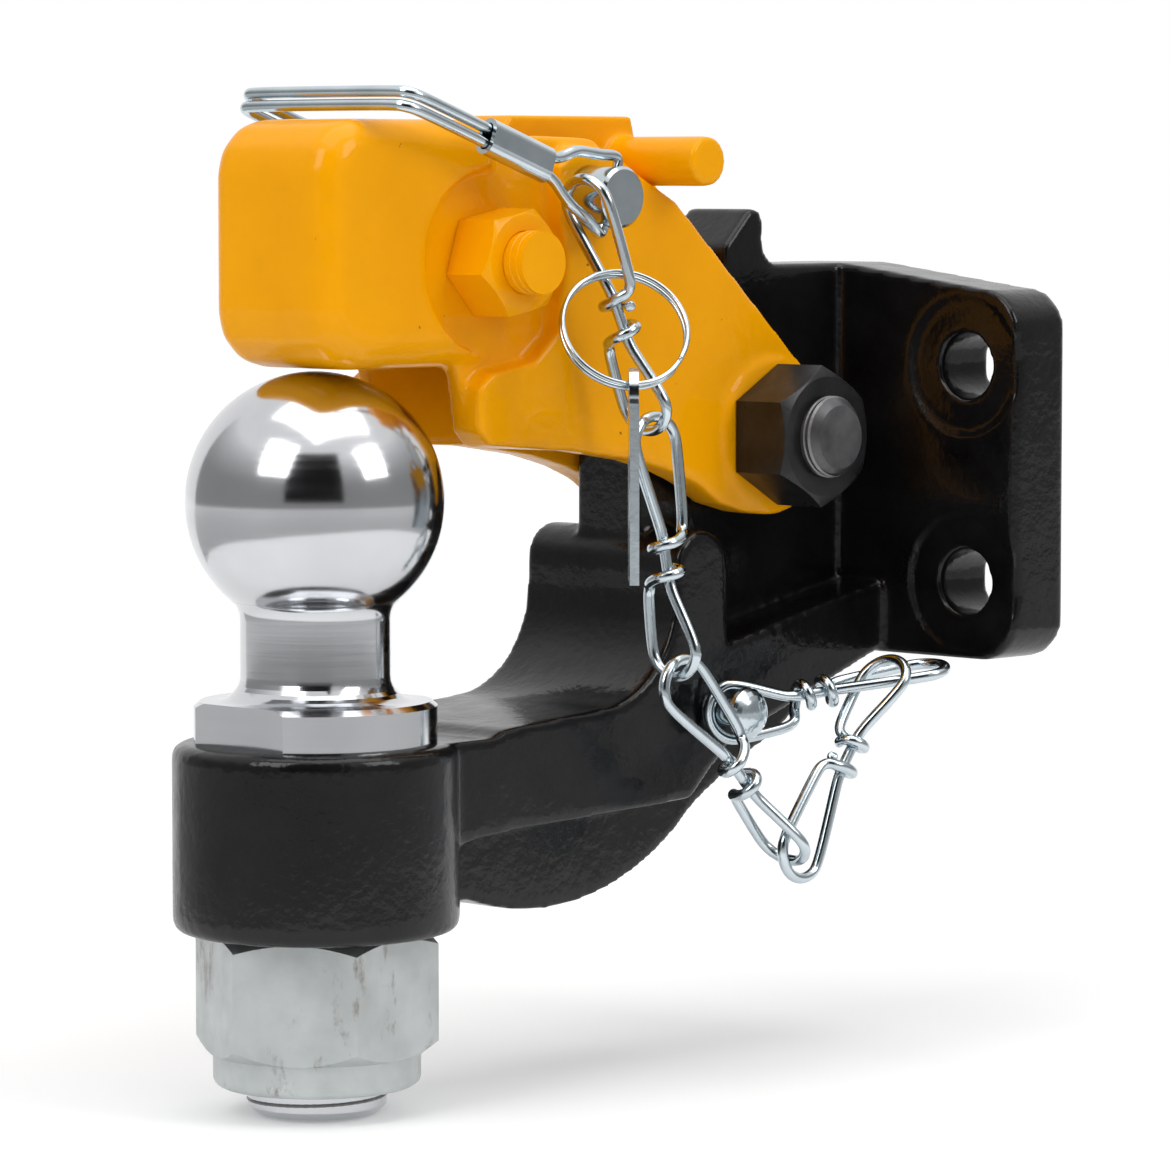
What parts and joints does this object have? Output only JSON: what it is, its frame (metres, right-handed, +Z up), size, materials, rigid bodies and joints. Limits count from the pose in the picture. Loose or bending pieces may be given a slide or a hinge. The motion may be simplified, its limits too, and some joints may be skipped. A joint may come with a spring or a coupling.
{
  "type": "ball and pintle coupling",
  "caption": "Bolt-on combination coupling: cast hook with a 50 mm tow ball, a painted latch with lock lever, and a safety pin kept by a chain.",
  "frame": {"origin": "centre of the four-hole bolt pattern on the plate's back face", "axes": "+X out of the plate's back face into the vehicle, ball toward -X, pivots along Y, +Z up along the ball's shank"},
  "size_m": [0.185, 0.114, 0.1976],
  "materials": {
    "cast_black": "gloss",
    "yellow_paint": "gloss",
    "chrome": "polished",
    "zinc": "satin",
    "black_steel": "satin",
    "nylon": "matte"
  },
  "bodies": {
    "hook": {"body_casting": "cast_black", "tow_ball": "chrome", "ball_nut": "zinc", "ball_nut_insert": "nylon", "pivot_bolt": "black_steel", "pivot_nut": "black_steel", "chain_rivet": "zinc"},
    "latch": {"latch": "yellow_paint", "lock_bolt": "yellow_paint", "lock_nut": "yellow_paint", "lock_spring": "zinc", "safety_pin": "zinc"},
    "lock_lever": {"lock_lever": "yellow_paint"},
    "bail": {"pin_bail": "zinc", "bail_ferrule": "zinc"},
    "link_5": {"chain_link_5": "zinc"},
    "link_4": {"chain_link_4": "zinc"},
    "link_3": {"chain_link_3": "zinc"},
    "link_2": {"chain_link_2": "zinc"},
    "link_1": {"chain_link_1": "zinc"},
    "ring": {"split_ring": "zinc"},
    "tag": {"hang_tag": "zinc"}
  },
  "joints": [
    {"name": "latch_pivot", "type": "hinge", "parent": "hook", "child": "latch", "pos_m": [-0.0475, 0, 0.0085], "axis": [0, 1, 0], "range_deg": [0, 36]},
    {"name": "lock_lever_pivot", "type": "hinge", "parent": "latch", "child": "lock_lever", "pos_m": [-0.1255, 0, 0.0445], "axis": [0, 1, 0], "range_deg": [-27.1, 0]},
    {"name": "bail_swing", "type": "hinge", "parent": "latch", "child": "bail", "pos_m": [-0.101, -0.02452, 0.057], "axis": [0.3256, 0, 0.9455], "range_deg": [0, 8]},
    {"name": "link_5_swing", "type": "hinge", "parent": "hook", "child": "link_5", "pos_m": [-0.067, -0.02555, -0.0466], "axis": [0, 1, 0], "range_deg": [0, 85.3]},
    {"name": "link_4_swing", "type": "hinge", "parent": "link_5", "child": "link_4", "pos_m": [-0.04105, -0.04305, -0.04142], "axis": [0, 1, 0], "range_deg": [-2.9, 0]},
    {"name": "link_3_swing", "type": "hinge", "parent": "link_4", "child": "link_3", "pos_m": [-0.06663, -0.04245, -0.07536], "axis": [0, 1, 0], "range_deg": [-23.6, 0]},
    {"name": "link_2_swing", "type": "hinge", "parent": "link_3", "child": "link_2", "pos_m": [-0.09564, -0.03755, -0.03687], "axis": [0, 1, 0], "range_deg": [-67.1, 0]},
    {"name": "link_1_swing", "type": "hinge", "parent": "link_2", "child": "link_1", "pos_m": [-0.09822, -0.03325, 0.01132], "axis": [0, 1, 0], "range_deg": [0, 47.1]},
    {"name": "ring_swing", "type": "hinge", "parent": "link_1", "child": "ring", "pos_m": [-0.10639, -0.03086, 0.04213], "axis": [0.866, -0.5, 0], "range_deg": [-8, 1]},
    {"name": "tag_swing", "type": "hinge", "parent": "ring", "child": "tag", "pos_m": [-0.11296, -0.04224, 0.02109], "axis": [0.866, -0.5, 0], "range_deg": [-8, 5]}
  ],
  "couplings": [
    {"joint": "lock_lever_pivot", "follows": "latch_pivot", "ratio": -0.75},
    {"joint": "link_5_swing", "follows": "latch_pivot", "ratio": 2.367},
    {"joint": "link_4_swing", "follows": "latch_pivot", "ratio": -0.078},
    {"joint": "link_3_swing", "follows": "latch_pivot", "ratio": -0.653},
    {"joint": "link_2_swing", "follows": "latch_pivot", "ratio": -1.861},
    {"joint": "link_1_swing", "follows": "latch_pivot", "ratio": 1.306}
  ]
}
